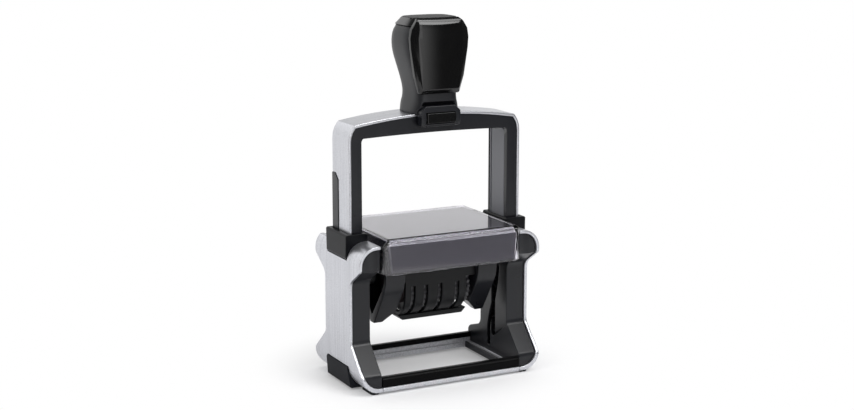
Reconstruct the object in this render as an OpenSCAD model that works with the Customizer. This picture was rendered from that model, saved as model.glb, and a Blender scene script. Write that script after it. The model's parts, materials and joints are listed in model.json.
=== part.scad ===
// Self-inking date stamp with a turning print unit, drawn at rest with the bow up.
// Millimetres, +Z up, front towards -Y, origin on the floor under the middle of the base.

/* [Imprint] */
// Width of the text plate
die_w = 60; // [50:0.5:80]
// Depth of the text plate
die_d = 38.6; // [30:0.2:42]
// Thickness of the sheet that carries the relief
sheet_t = 1.1; // [0.8:0.1:1.6]
// Height of the rubber relief
relief_t = 1.2; // [0.8:0.1:1.6]
// Margin of the sheet round the relief
relief_margin = 1.5; // [1:0.1:3]
// Distance from the turning axis to the print face
die_h = 12; // [11:0.1:13]
// Height of the print face above the floor at the end of the stroke
print_z = 1.3; // [1:0.1:2]

/* [Press] */
// Travel of the bow
press_travel = 37.9; // [37:0.1:44]
// Radius of the pivot pins in the bow's tongues
pivot_r = 1.5; // [1.2:0.1:1.8]
// Radius of the flip pins on the print unit
flip_r = 1.1; // [0.8:0.1:1.3]
// Distance from the pivot pin to the flip pin
flip_arm = 4.2; // [3.8:0.1:5]
// Running clearance of a pin in its bore
pin_fit = 0.05; // [0.02:0.01:0.08]
// Clearance of a pin in its track
track_fit = 0.25; // [0.15:0.05:0.4]
// Wall that holds the pin tracks
track_t = 1.4; // [1.2:0.1:2]

/* [Base] */
// Height of the rubber pads
pad_h = 0.8; // [0.5:0.1:3]
// Height of the silver strip above the pads
strip_h = 2.2; // [1.8:0.1:2.6]
// Height of the black cross bars above the strip
bar_h = 4.6; // [3:0.1:5]
// Depth of the cross bars
bar_d = 3.8; // [3:0.1:6]
// Gap between the text plate and the cross bars
bar_gap = 2.4; // [2.2:0.1:4]
// Height of a toe above the base's underside
toe_h = 7.5; // [6:0.1:10]
// Height of a rear toe above the base's underside
rear_toe_h = 9.6; // [6:0.1:11]
// Height of the waist's lower end above the base's underside
waist_h = 20; // [16:0.5:26]
// Height of the waist's lower end at the back of a black frame
rear_waist_h = 13.4; // [13:0.1:20]
// Height of the silver upstand under the rear bar
upstand_h = 2.2; // [1:0.1:3]
// Depth over the ears
ear_d = 48; // [44:0.5:56]
// Height of an ear from its lower edge to its top
ear_h = 10.6; // [10:0.1:13]
// Height of the slope between the waist and an ear
ear_slope = 7; // [5:0.5:10]
// Wall of the silver side covers
cover_t = 1.4; // [1:0.1:1.8]
// Outer radius of the covers' shoulders
shoulder_r = 8.5; // [6:0.5:9.5]
// Outer radius of the covers' bottom corners
foot_r = 9.5; // [6:0.5:10]
// How far the black frames stand back behind the silver rims
rim_back = 1; // [0.5:0.1:1.5]
// Front and rear wall of a column
column_wall = 3.2; // [2.6:0.1:4]

/* [Guide collars] */
// Height of a guide collar
collar_h = 11.1; // [9:0.1:12]
// Wall of a guide collar
collar_t = 1.3; // [1:0.1:1.8]
// How far a collar stands proud of the side cover
collar_proud = 0.3; // [0.1:0.1:1]

/* [Window] */
// Wall of the clear window cover
window_t = 1.5; // [1.2:0.1:2]
// How far the cover's top stands above the ears
window_over = 3.2; // [2:0.1:5]
// Height of the cover's front apron
apron_h = 15.8; // [14:0.1:17]
// Depth over the apron's lower edge
apron_d = 55.2; // [50:0.1:60]
// How far the cover's front wall leans in from bottom to top
window_lean = 0.9; // [0.5:0.1:2]
// Chamfer along the cover's front and rear top edges
window_chamfer = 1.6; // [1:0.1:2.5]
// How far the cover's ends slope in under its top
window_end_in = 2.2; // [1:0.1:3]
// Height of the slope at the cover's ends
window_end_h = 4.1; // [2:0.1:6]
// Radius of the cover's upright corners at their foot
window_r = 5.5; // [3:0.5:8]
// Thickness of the dark insert under the cover
insert_t = 0.7; // [0.5:0.1:1.2]

/* [Ink cartridge] */
// Thickness of the ink pad
pad_t = 1.4; // [1.2:0.1:2.4]
// Gap between the ink pad and the print face at rest
pad_gap = 1.5; // [1.3:0.1:2]
// Wall of the cartridge tray
tray_t = 1; // [0.8:0.1:1.5]
// Travel of the cartridge when it is pulled out
cartridge_travel = 40; // [20:1:44]

/* [Bow] */
// Depth of the bow
bow_d = 17.8; // [16:0.2:19]
// Thickness of a leg with its silver skin
leg_t = 6.3; // [5.8:0.1:7]
// Thickness of the silver skin
skin_t = 1.2; // [0.8:0.1:1.5]
// Height of the bow's top bar at the crown
bow_bar = 9.5; // [8:0.1:12]
// Rise of the arch between a corner and the crown
arch_rise = 3.8; // [1:0.1:5]
// Outer radius of the bow's corners
bow_r = 10.5; // [4:0.5:12]
// Inner radius of the bow's corners
hand_r = 2.5; // [1:0.5:4]
// Gap between the pressed bow and the window cover
stop_gap = 3.6; // [1:0.1:5]
// Sliding gap round a leg
leg_fit = 0.25; // [0.15:0.05:0.3]
// Gap between a leg and the inside of the side cover
leg_air = 1; // [0.7:0.1:2]
// Height of a bow rail above its guide collar
rail_h = 25; // [10:0.5:34]
// Width of a bow rail
rail_w = 6.5; // [4:0.1:8]
// How far a bow rail stands proud of the silver skin
rail_proud = 0.3; // [0.1:0.05:0.5]

/* [Knob] */
// Height of the knob above the bow's crown
knob_h = 41.8; // [36:0.2:50]
// Width of the knob's soft grip at its widest
grip_w = 30.4; // [26:0.2:36]
// Depth of the knob from the turning plane to its glossy front panel
panel_y = 13.9; // [12.5:0.1:15]
// Depth of the knob from the turning plane to the back of its cap
cap_y = 11.2; // [10:0.1:13]
// Width of the saddle on the bow
saddle_w = 19.4; // [18:0.2:24]
// How far the saddle reaches down the bow's bar
saddle_drop = 5.7; // [5:0.1:7]
// How far the saddle's front plate rises above the bow's crown
saddle_rise = 3.4; // [2.6:0.1:5]
// Depth of the knob from the turning plane to the saddle's front plate
saddle_y = 14; // [13:0.1:15]
// Width of the lock button
button_w = 14; // [10:0.2:16]
// Height of the lock button
button_h = 4.4; // [3:0.1:5]
// Travel of the lock button
button_travel = 2; // [1:0.1:2]

/* [Date unit] */
// Distance from the turning axis to the wheel axle
axle_drop = 11.2; // [11:0.1:12]
// Radius of the wheel axle
axle_r = 1.5; // [1.2:0.1:1.8]
// Radius of a setting wheel's thumb disc
disc_r = 11; // [10:0.1:11.2]
// Thickness of a thumb disc
disc_t = 1.5; // [1:0.1:1.6]
// Width of the first day band's place, beside the left end wall
tens_pitch = 5.4; // [5:0.1:6]
// Distance from the first to the second thumb disc
units_pitch = 6.3; // [5.5:0.1:7]
// Distance from the second to the third thumb disc
month_pitch = 7.2; // [6:0.1:8]
// Distance from the third to the fourth thumb disc
year_pitch = 8.6; // [7:0.1:9.5]
// Radius of a wheel's band drum
drum_r = 5; // [4:0.1:5.5]
// Clearance at each side of a date band
band_side = 0.3; // [0.2:0.05:0.5]
// Thickness of a date band
band_t = 1.2; // [0.8:0.1:1.4]
// Outer radius of the band housing
housing_r = 12; // [11.8:0.1:12.6]
// Wall of the band housing
housing_t = 1.6; // [1.2:0.1:2]
// Width of the slots between the housing's slats
slot_w = 2; // [1.9:0.1:2.4]
// Gap between a cheek and the carrier's end plate
cheek_gap = 1.9; // [1:0.1:4]
// Depth of a cheek
cheek_d = 30; // [26:0.2:34]
// Distance from the turning axis to a cheek's tip
cheek_drop = 25.4; // [22:0.2:28]

/* [Hidden] */
$fn = 48;
corner_steps = 7;
arch_fn = 360;
fit = 0.1;
past = 1;

// Heights, from the floor up
base_z = pad_h;
toe_z = base_z + toe_h;
rear_toe_z = base_z + rear_toe_h;
waist_z = base_z + waist_h;
rear_waist_z = base_z + rear_waist_h;
strip_top = base_z + strip_h;
bar_top = strip_top + bar_h;
pivot_z = print_z + die_h + press_travel;
face_z = pivot_z + die_h;
pad_z = face_z + pad_gap;
tray_top = pad_z + pad_t + tray_t;
insert_gap = 0.2;
insert_top = tray_top + insert_gap + insert_t;
window_in = insert_top + fit;
window_top = window_in + window_t;
apron_z = window_top - apron_h;
ear_top = window_top - window_over;
ear_z = ear_top - ear_h;
flare_z = ear_z - ear_slope;
collar_top = window_top + fit;
collar_z = collar_top - collar_h;
leg_z = collar_z - 1.8;
hand_z = window_top + press_travel + stop_gap;
bow_crown = hand_z + bow_bar;

// Half widths, from the text plate outwards
end_plate_t = 2.6;
end_gap = 2.2;
die_x = die_w / 2;
platform_x = die_x + 0.2;
end_x = die_x + end_plate_t - 0.2;
opening_x = end_x + end_gap;
leg_in = opening_x + track_t + leg_fit;
leg_out = leg_in + leg_t;
cover_in = leg_out + leg_air;
base_x = cover_in + cover_t;
window_x = opening_x - 0.2;

// The return springs stand on the columns' floors, clear of the rounded bottom corners
spring_r = 2.2;
wire_r = 0.35;
spring_air = 0.15;
spring_x = (leg_in + leg_out) / 2;
corner_in = foot_r - cover_t;
spring_reach = spring_x + spring_r + wire_r - cover_in + corner_in;
spring_rise = spring_reach > 0 ? corner_in - sqrt(max(0, corner_in * corner_in - spring_reach * spring_reach)) : 0;
floor_t = 1.6;
column_floor = strip_top + max(floor_t, spring_rise + spring_air);

// Half depths
die_y = die_d / 2;
opening_y = die_y + bar_gap;
toe_y = opening_y + bar_d;
ear_y = ear_d / 2;
leg_y = bow_d / 2;
channel_y = leg_y + leg_fit;
collar_y = channel_y + collar_t;
waist_y = channel_y + column_wall + rim_back;
apron_y = apron_d / 2;

// Outline helpers: an outline is a list of [x, y, corner radius]
function unit(v) = v / norm(v);
function flat(p) = [p[0], p[1]];
function cross_sign(u, v) = sign(u[0] * v[1] - u[1] * v[0]);
function arc_points(centre, radius, start, turn) = [
    for (i = [0 : corner_steps])
        let (a = start + turn * i / corner_steps)
        centre + radius * [cos(a), sin(a)]
];
function corner(before, p, after) =
    let (
        u = unit(flat(before) - flat(p)),
        v = unit(flat(after) - flat(p)),
        half = acos(u * v) / 2,
        centre = flat(p) + unit(u + v) * p[2] / sin(half),
        start = flat(p) + u * p[2] / tan(half) - centre
    )
    arc_points(centre, p[2], atan2(start[1], start[0]), -cross_sign(u, v) * (180 - 2 * half));
function outline(pts) =
    let (n = len(pts))
    [
        for (i = [0 : n - 1])
            each (pts[i][2] == 0
                ? [flat(pts[i])]
                : corner(pts[(i + n - 1) % n], pts[i], pts[(i + 1) % n]))
    ];
function other_side(half) = [for (i = [len(half) - 1 : -1 : 0]) [-half[i][0], half[i][1], half[i][2]]];
function both_sides(half) = concat(half, other_side(half));

// Extrusions of an outline along X (drawn in Y and Z) and along Y (drawn in X and Z)
module along_x(from, to) {
    translate([from, 0, 0])
        rotate([90, 0, 90])
        linear_extrude(to - from)
        children();
}
module along_y(from, to) {
    translate([0, to, 0])
        rotate([90, 0, 0])
        linear_extrude(to - from)
        children();
}
module box(low, high) {
    translate(low)
        cube(high - low);
}
module x_pin(from, to, radius) {
    translate([from, 0, 0])
        rotate([0, 90, 0])
        cylinder(h = to - from, r = radius);
}
module left() {
    mirror([1, 0, 0])
        children();
}

// Side view of the base: toes, waist and ears, drawn in by inset; the rear has its own toe and waist
function side_half(inset, toe, waist) = [
    [toe_y - inset, base_z, 1.5],
    [toe_y - inset, toe, 3.5],
    [waist_y - inset, waist, 4],
    [waist_y - inset, flare_z, 5],
    [ear_y - inset, ear_z, 2.5],
    [ear_y - inset, ear_top, 0],
];
function side_view(inset, rear_waist) = outline(concat(
    side_half(inset, rear_toe_z, rear_waist),
    other_side(side_half(inset, toe_z, waist_z))
));

// Front view of one side of the base, drawn in by inset, with its floor at low
function front_view(inset, low) = outline([
    [opening_x - inset * past, low, 0],
    [base_x - inset, low, foot_r - inset],
    [base_x - inset, ear_top - inset, shoulder_r - inset],
    [opening_x - inset * past, ear_top - inset, 0],
]);

// The rear ears are trimmed low, so that the ink cartridge can be gripped
rear_trim_z = ear_top - 2.6;
rear_trim_x = base_x - 2;
module rear_ear_trim() {
    box([0, collar_y + fit, rear_trim_z], [rear_trim_x, toe_y + past, ear_top + past]);
}

module collar_space(gap) {
    along_x(opening_x - past, base_x + collar_proud + past)
        polygon([
            [-collar_y - gap, collar_z - gap],
            [collar_y + gap, collar_z - gap],
            [collar_y + collar_flare + gap, collar_top + past],
            [-collar_y - collar_flare - gap, collar_top + past],
        ]);
}
collar_flare = 0.5;

module side_cover() {
    color("silver")
    difference() {
        intersection() {
            along_x(opening_x, base_x)
                polygon(side_view(0, waist_z));
            along_y(-toe_y - past, toe_y + past)
                polygon(front_view(0, base_z));
        }
        along_y(-toe_y - past, toe_y + past)
            polygon(front_view(cover_t, strip_top));
        collar_space(fit);
        rear_ear_trim();
        side_foot_blank(fit);
    }
}
module side_cover_left() { left() side_cover(); }
module side_cover_right() { side_cover(); }

// The two tracks in a column's inner wall: a straight one for the pivot pin and a
// curved one for the flip pin, which swings half a turn while the bow goes down
track_steps = 28;
track_w = flip_r + track_fit;
track_low = strip_top + 3;
function flip_path(t) = [-flip_arm * cos(180 * t), pivot_z - press_travel * t - flip_arm * sin(180 * t)];
function flip_heading(t) = unit([flip_arm * PI * sin(180 * t), -press_travel - flip_arm * PI * cos(180 * t)]);
function flip_side(t, side) =
    let (h = flip_heading(t))
    flip_path(t) + side * track_w * [-h[1], h[0]];
module flip_track() {
    polygon(concat(
        [for (i = [0 : track_steps]) flip_side(i / track_steps, 1)],
        [for (i = [track_steps : -1 : 0]) flip_side(i / track_steps, -1)]
    ));
    translate([flip_arm - track_w, track_low])
        square([2 * track_w, flip_path(1)[1] - track_low]);
    for (t = [0, 1])
        translate(flip_path(t))
            circle(track_w);
}
module pivot_track() {
    half = pivot_r + track_fit;
    translate([-half, pivot_z - press_travel])
        square([2 * half, press_travel]);
    for (z = [pivot_z - press_travel, pivot_z])
        translate([0, z])
            circle(half);
}

// Runner that carries the ink cartridge, on the inner wall of a column
runner_z = face_z - 2;
runner_t = 1;
runner_w = 1.6;
runner_front = 19;
runner_rear = 22;

module side_frame() {
    scoop_r = 9;
    scoop_depth = 1.3;
    color("#303033")
    difference() {
        union() {
            intersection() {
                along_x(opening_x, cover_in - fit)
                    polygon(side_view(rim_back, rear_waist_z));
                along_y(-toe_y, toe_y)
                    polygon(front_view(cover_t + fit, strip_top + fit));
            }
            box([opening_x - runner_w, -runner_front, runner_z - runner_t],
                [opening_x + track_t, runner_rear, runner_z]);
        }
        box([leg_in - leg_fit, -channel_y, column_floor], [base_x, channel_y, ear_top + past]);
        along_x(opening_x - past, leg_in)
            flip_track();
        along_x(opening_x - past, leg_in)
            pivot_track();
        collar_space(0);
        rear_ear_trim();
        translate([(opening_x + base_x) / 2, rim_back - ear_y + scoop_depth - scoop_r, 0])
            translate([0, 0, ear_z - past])
            cylinder(h = ear_h + 2 * past, r = scoop_r);
        side_foot_blank(fit);
    }
}
module side_frame_left() { left() side_frame(); }
module side_frame_right() { side_frame(); }

// Black bumper that fills the lower outer corner of a side
foot_h = 9.6;
foot_proud = 0.6;
foot_tuck = 0.5;
foot_y_top = 11.3;
foot_y_low = 12.9;
foot_wrap = 8;
module side_foot_blank(gap) {
    top = base_z + foot_h;
    difference() {
        intersection() {
            along_x(base_x - foot_wrap - gap, base_x + foot_proud)
                polygon([
                    [-foot_y_low - gap, base_z - past],
                    [foot_y_low + gap, base_z - past],
                    [foot_y_top + gap, top + gap],
                    [-foot_y_top - gap, top + gap],
                ]);
            along_y(-toe_y, toe_y)
                polygon(outline([
                    [base_x - foot_wrap - gap, base_z, 0],
                    [base_x - foot_tuck, base_z, 0.8],
                    [base_x + foot_proud, top - 1, 0],
                    [base_x + foot_proud - 0.3, top + gap, 0],
                    [base_x - foot_wrap - gap, top + gap, 0],
                ]));
        }
        along_y(-toe_y, toe_y)
            polygon(front_view(cover_t - fit / 2 + gap, strip_top - fit / 2 + gap));
    }
}
module side_foot_left() { color("#28282a") left() side_foot_blank(0); }
module side_foot_right() { color("#28282a") side_foot_blank(0); }

// Cross bars between the columns, with a slope along their outer top edges
module cross_bar(low) {
    slope = 1;
    color("#242426")
    along_x(-opening_x + fit, opening_x - fit)
        polygon([
            [opening_y, low],
            [bar_y, low],
            [bar_y, bar_top - slope],
            [bar_y - slope, bar_top],
            [opening_y, bar_top],
        ]);
}
bar_y = toe_y - rim_back / 2;
module cross_bar_front() { mirror([0, 1, 0]) cross_bar(strip_top); }
module cross_bar_rear() { cross_bar(strip_top + upstand_h); }

// Silver plate round the printing opening, with a low upstand under the rear bar
plate_lip = 0.9;
rail_low_t = 0.7;
rail_low_w = 1;
rail_low_x = die_x + plate_lip;
plate_x = rail_low_x + rail_low_w + fit;
plate_y = opening_y - plate_lip;
module base_plate() {
    color("silver")
    difference() {
        union() {
            along_x(-opening_x + fit, opening_x - fit)
                polygon(outline(both_sides([[toe_y, base_z, 1.5], [toe_y, strip_top, 0]])));
            box([-opening_x + fit, opening_y, base_z + past],
                [opening_x - fit, bar_y, strip_top + upstand_h]);
        }
        box([-plate_x, -plate_y, base_z - past], [plate_x, plate_y, strip_top + past]);
    }
}

// Low black rails that line the opening's two sides
module guide_rail() {
    color("#1c1c1e")
    box([rail_low_x, -plate_y + fit, base_z],
        [rail_low_x + rail_low_w, plate_y - fit, strip_top + rail_low_t]);
}
module guide_rail_left() { left() guide_rail(); }
module guide_rail_right() { guide_rail(); }

// Thin rubber pads under the four toes, shaped to the covers' rounded corners
pad_seat = 1;
pad_x = opening_x + 0.6;
pad_w = base_x - foot_r - pad_x + 4;
pad_y = foot_y_low + 0.6;
pad_d = toe_y - 1.6 - pad_y;
module rubber_pads() {
    color("#202022")
    for (x = [0, 1], y = [0, 1])
        mirror([x, 0, 0])
        mirror([0, y, 0])
        difference() {
            linear_extrude(pad_h + pad_seat)
                polygon(outline([
                    [pad_x, pad_y, 0.8], [pad_x + pad_w, pad_y, 0.8],
                    [pad_x + pad_w, pad_y + pad_d, 1.6], [pad_x, pad_y + pad_d, 1.6],
                ]));
            along_y(-toe_y, toe_y)
                polygon(front_view(0, base_z));
        }
}

// Collar that guides a leg of the bow at the top of its column
module guide_collar() {
    edge = 0.8;
    color("#2c2c2e")
    difference() {
        intersection() {
            collar_space(0);
            along_y(-toe_y, toe_y)
                polygon(outline([
                    [opening_x + fit, collar_z, 0],
                    [base_x + collar_proud - edge, collar_z, 0],
                    [base_x + collar_proud, collar_z + edge, 0],
                    [base_x + collar_proud, collar_top, edge],
                    [opening_x + fit, collar_top, edge],
                ]));
        }
        box([leg_in - leg_fit, -channel_y, collar_z - past],
            [leg_out + rail_proud + leg_fit, channel_y, collar_top + past]);
    }
}
module guide_collar_left() { left() guide_collar(); }
module guide_collar_right() { guide_collar(); }

// Return spring that stands in a column, under the shoulder of a leg
spring_turns = 14;
spring_y = leg_y - spring_r - wire_r - 0.2;
rings_a_turn = 8;
wire_sides = 6;
spring_low = column_floor + wire_r;
spring_high = leg_z - wire_r;
spring_rings = spring_turns * rings_a_turn;
function spring_point(i, k) =
    let (
        a = 360 * i / rings_a_turn,
        b = 360 * k / wire_sides,
        r = spring_r + wire_r * cos(b)
    )
    [r * cos(a), r * sin(a), spring_low + (spring_high - spring_low) * i / spring_rings + wire_r * sin(b)];
module return_spring() {
    color("#3c3d41")
    translate([spring_x, spring_y, 0])
        polyhedron(
            points = [for (i = [0 : spring_rings], k = [0 : wire_sides - 1]) spring_point(i, k)],
            faces = concat(
                [[for (k = [0 : wire_sides - 1]) k]],
                [
                    for (i = [0 : spring_rings - 1], k = [0 : wire_sides - 1], half = [0, 1])
                        let (
                            n = (k + 1) % wire_sides,
                            a = i * wire_sides + k,
                            b = i * wire_sides + n,
                            c = (i + 1) * wire_sides + n,
                            d = (i + 1) * wire_sides + k
                        )
                        half == 0 ? [a, d, c] : [a, c, b]
                ],
                [[for (k = [wire_sides - 1 : -1 : 0]) spring_rings * wire_sides + k]]
            )
        );
}
module return_spring_left() { left() return_spring(); }
module return_spring_right() { return_spring(); }

// Form of the window cover, drawn in by inset: a leaning front, sloped ends and rounded corners
module window_form(inset) {
    side_x = window_x - inset;
    front_y = apron_y - inset;
    top = window_top - inset;
    low = apron_z - past * sign(inset);
    plan_x = side_x + fit;
    plan_y = front_y + fit;
    intersection() {
        along_y(-apron_y, apron_y)
            polygon(outline(both_sides([
                [side_x, low, 0],
                [side_x, top - window_end_h, 0],
                [side_x - window_end_in, top, 0],
            ])));
        along_x(-window_x, window_x)
            polygon(outline(both_sides([
                [front_y, low, 0],
                [front_y - window_lean, top - window_chamfer, 0],
                [front_y - window_lean - window_chamfer, top, 0],
            ])));
        translate([0, 0, low - past])
            linear_extrude(top - low + 2 * past)
            polygon(outline([
                [-plan_x, -plan_y, window_r - inset], [plan_x, -plan_y, window_r - inset],
                [plan_x, plan_y, window_r - inset], [-plan_x, plan_y, window_r - inset],
            ]));
    }
}

// Clear cover over the ink cartridge; only its front apron reaches down over the print unit
skirt_z = face_z + 0.2;
apron_return = 20;
rear_door_y = 15;
module window_cover() {
    color("#8a8890", 0.6)
    difference() {
        window_form(0);
        window_form(window_t);
        box([-window_x - past, -apron_return, apron_z - past], [window_x + past, apron_y + past, skirt_z]);
        box([-window_x - past, rear_door_y, apron_z - past], [window_x + past, apron_y + past, tray_top + fit]);
    }
}

// Dark insert that holds the index card under the clear cover
module cover_insert() {
    low_margin = 0.8;
    low_x = window_x - 4;
    high_x = window_x - 2;
    color("#4c4a4f")
    difference() {
        intersection() {
            window_form(window_t + fit);
            along_y(-apron_y, tray_y)
                polygon([
                    [-low_x, apron_z + low_margin], [low_x, apron_z + low_margin],
                    [high_x, window_top], [-high_x, window_top],
                ]);
        }
        translate([0, 0, -insert_t])
            along_x(-window_x, window_x)
            polygon([
                [insert_t - (apron_y - window_t - fit), apron_z - past],
                [apron_y, apron_z - past],
                [apron_y, insert_top],
                [insert_t + window_lean + window_chamfer - (apron_y - window_t), insert_top],
                [insert_t + window_lean - (apron_y - window_t - fit), insert_top - window_chamfer],
            ]);
    }
}

// Ink cartridge: a tray on two runners, open below, with a finger grip at the back
tray_y = apron_y - window_t - insert_t - window_lean - window_chamfer - 0.3;
tray_in = die_x - relief_margin + 0.8;
tray_gap = 1.1;
tray_x = window_x - window_t - tray_gap;
tray_edge = max(0.9, window_end_in - tray_gap / 2);
wall_lap = 0.9;
wall_z = pad_z - 0.4;
lip_z = pad_z - 0.3;
flange_in = platform_x + 0.25;
flange_x = window_x - fit;
flange_top = skirt_z - 0.2;
module cartridge_tray() {
    grip_t = apron_y - tray_y;
    grip_low_w = 44;
    finger_r = 13;
    finger_depth = 2.2;
    color("#2a2a2c")
    difference() {
        union() {
            along_y(-tray_y, tray_y)
                polygon(outline(both_sides([
                    [tray_x, wall_z, 0],
                    [tray_x, tray_top - tray_edge, 0],
                    [tray_x - tray_edge, tray_top, 0],
                ])));
            for (s = [0, 1])
                mirror([s, 0, 0]) {
                    box([flange_in, -runner_front, runner_z], [flange_x, tray_y, flange_top]);
                    box([flange_in, -runner_front, runner_z], [tray_x, tray_y, wall_z + wall_lap]);
                }
            along_y(tray_y - past, tray_y + grip_t)
                polygon(outline(both_sides([
                    [grip_low_w / 2, ear_z, 4],
                    [tray_in, lip_z, 0],
                    [tray_in, tray_top, 0],
                ])));
        }
        box([-tray_in, tray_t - tray_y, wall_z - past], [tray_in, tray_y - tray_t, tray_top - tray_t]);
        box([-tray_in, -tray_y - past, wall_z - past], [tray_in, tray_y, lip_z]);
        translate([0, tray_y + grip_t + finger_r - finger_depth, ear_z + 6])
            rotate([0, 90, 0])
            cylinder(h = grip_low_w * 0.7, r = finger_r, center = true);
    }
}
module ink_pad() {
    color("#1d2a55")
    box([fit - tray_in, tray_t + fit - tray_y, pad_z],
        [tray_in - fit, tray_y - tray_t - fit, tray_top - tray_t]);
}

// Front view of the bow with an arched top
module arched(half_w, low, crown, rise, radius) {
    arch = (half_w * half_w + rise * rise) / (2 * rise);
    intersection() {
        polygon(outline(both_sides([[half_w, low, 0], [half_w, crown, radius]])));
        translate([0, crown - arch])
            circle(arch, $fn = arch_fn);
    }
}
module bow_outer(inset, low = leg_z) {
    arched(leg_out - inset, low, bow_crown - inset, arch_rise, bow_r - inset);
}
hand_rise = 0.7;
module hand_space() {
    arched(leg_in, leg_z - past, hand_z + hand_rise, hand_rise, hand_r);
}

// Rail in the rear half of a leg's outer face
rail_seat = 0.7;
rail_z = leg_z;
rail_top = collar_top + rail_h;
rail_slant = 3;
module rail_blank(gap) {
    along_x(leg_out - rail_seat - gap, leg_out + rail_proud)
        polygon([
            [leg_y - rail_w - gap, rail_z - gap],
            [leg_y, rail_z - gap],
            [leg_y, rail_top + gap],
            [leg_y - rail_w + rail_slant, rail_top + gap],
            [leg_y - rail_w - gap, rail_top - rail_slant + gap],
        ]);
}
module bow_rail_left() { color("#28282a") left() rail_blank(0); }
module bow_rail_right() { color("#28282a") rail_blank(0); }

module bow_cover() {
    color("silver")
    difference() {
        along_y(-leg_y, leg_y)
            bow_outer(0);
        along_y(-leg_y - past, leg_y + past)
            bow_outer(skin_t, leg_z - past);
        rail_blank(0);
        left() rail_blank(0);
    }
}

// Black frame inside the skin; its tongues go down into the columns and hold the pivot pins
bow_back = 0.3;
tongue_drop = 6;
tongue_y = 2.4;
groove_d = 1;
groove_y = 6;
groove_margin = 4;
module bow_frame() {
    color("#2a2a2c")
    difference() {
        union() {
            difference() {
                along_y(-leg_y + bow_back, leg_y - bow_back)
                    bow_outer(skin_t);
                along_y(-leg_y - past, leg_y + past)
                    hand_space();
            }
            for (s = [0, 1])
                mirror([s, 0, 0])
                    box([leg_in, -leg_y + bow_back, pivot_z - tongue_drop], [leg_out, tongue_y, leg_z]);
        }
        for (s = [0, 1])
            mirror([s, 0, 0]) {
                box([leg_in - past, -groove_y, collar_top + groove_margin],
                    [leg_in + groove_d, groove_y, hand_z - groove_margin]);
                translate([0, 0, pivot_z])
                    x_pin(leg_in - past, leg_out + past, pivot_r);
            }
    }
}
module pivot_pin() {
    color("gainsboro")
    translate([0, 0, pivot_z])
        x_pin(platform_x, leg_out - fit, pivot_r);
}
module pivot_pin_left() { left() pivot_pin(); }
module pivot_pin_right() { pivot_pin(); }

// Saddle that clamps the knob to the bow's top bar and frames the lock button
saddle_x = saddle_w / 2;
saddle_z = bow_crown - saddle_drop;
saddle_top = bow_crown + saddle_rise;
saddle_back = leg_y + 2.6;
saddle_bridge = bow_crown + 1.4;
saddle_plate = 4.4;
button_z = saddle_z + 1.6;
button_fit = 0.2;
saddle_corner = 2.4;
clamp_x = 7;
module saddle_form(gap) {
    front = -saddle_y - gap;
    back = saddle_plate - saddle_y + gap;
    intersection() {
        along_x(-saddle_x - gap, saddle_x + gap)
            polygon(outline([
                [0.8 - saddle_y, saddle_z, 1.5],
                [back, saddle_z, 0],
                [back, saddle_top + gap, 0],
                [1 + front, saddle_top + gap, 0],
                [-saddle_y, button_z + button_h / 2, 0],
            ]));
        along_y(-saddle_y - past, back)
            polygon(outline(both_sides([
                [saddle_x + gap, saddle_z, 1],
                [saddle_x + gap, saddle_top + gap - saddle_corner, 0],
                [saddle_x + gap - saddle_corner, saddle_top + gap, 0],
            ])));
    }
    along_x(-clamp_x - gap, clamp_x + gap)
        polygon(outline([
            [1 - saddle_y, saddle_z, 0],
            [saddle_back - 0.6, saddle_z, 1.5],
            [saddle_back + gap, saddle_bridge + gap, 0],
            [1 - saddle_y, saddle_bridge + gap, 0],
        ]));
}
module grip_saddle() {
    color("#222224")
    difference() {
        saddle_form(0);
        along_y(-leg_y - fit, leg_y + fit)
            bow_outer(-fit);
        box([-saddle_x - past, -leg_y - fit, saddle_z - past], [saddle_x + past, leg_y + fit, bow_crown - bow_bar / 2]);
        box([-button_w / 2 - button_fit, -saddle_y - past, button_z - button_fit],
            [button_w / 2 + button_fit, -leg_y + past, button_z + button_h + button_fit]);
    }
}
module lock_button() {
    color("#1c1c1e")
    along_y(-saddle_y - 0.2, -leg_y - button_travel - 0.1)
        polygon(outline([
            [-button_w / 2, button_z, 0.4], [button_w / 2, button_z, 0.4],
            [button_w / 2, button_z + button_h, 0.4], [-button_w / 2, button_z + button_h, 0.4],
        ]));
}

// Soft grip: rounded sections stacked from the bow's crown to under the glossy cap.
// Each row: share of the height, of the half width, of the front depth, of the rear depth
// and how round the section is; the front of a section is squarer than its back
front_square = 0.55;
knob_top = bow_crown + knob_h;
grip_x = grip_w / 2;
grip_rows = [
    [0.00, 0.78, 0.82, 1.00, 0.80],
    [0.10, 0.72, 0.83, 0.96, 0.65],
    [0.17, 0.67, 0.82, 0.87, 0.58],
    [0.25, 0.66, 0.82, 0.83, 0.55],
    [0.37, 0.72, 0.83, 0.87, 0.55],
    [0.53, 0.84, 0.85, 0.96, 0.55],
    [0.68, 0.95, 0.86, 1.02, 0.55],
    [0.80, 0.99, 0.87, 1.04, 0.58],
    [0.91, 0.97, 0.86, 1.00, 0.64],
    [1.00, 0.88, 0.80, 0.87, 0.70],
];
grip_levels = 26;
grip_points = 40;
grip_sink = 0.6;
grip_low = bow_crown - grip_sink;
cap_t = 3.3;
cap_seat = 0.5;
cap_low_z = knob_top - cap_t;
grip_top = cap_low_z + cap_seat;
function spline(p0, p1, p2, p3, t) =
    0.5 * (2 * p1 + (p2 - p0) * t + (2 * p0 - 5 * p1 + 4 * p2 - p3) * t * t
        + (3 * p1 - p0 - 3 * p2 + p3) * t * t * t);
function row(i) = grip_rows[max(0, min(len(grip_rows) - 1, i))];
function grip_span(share) = [for (i = [0 : len(grip_rows) - 2]) if (grip_rows[i][0] <= share) i];
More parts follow.
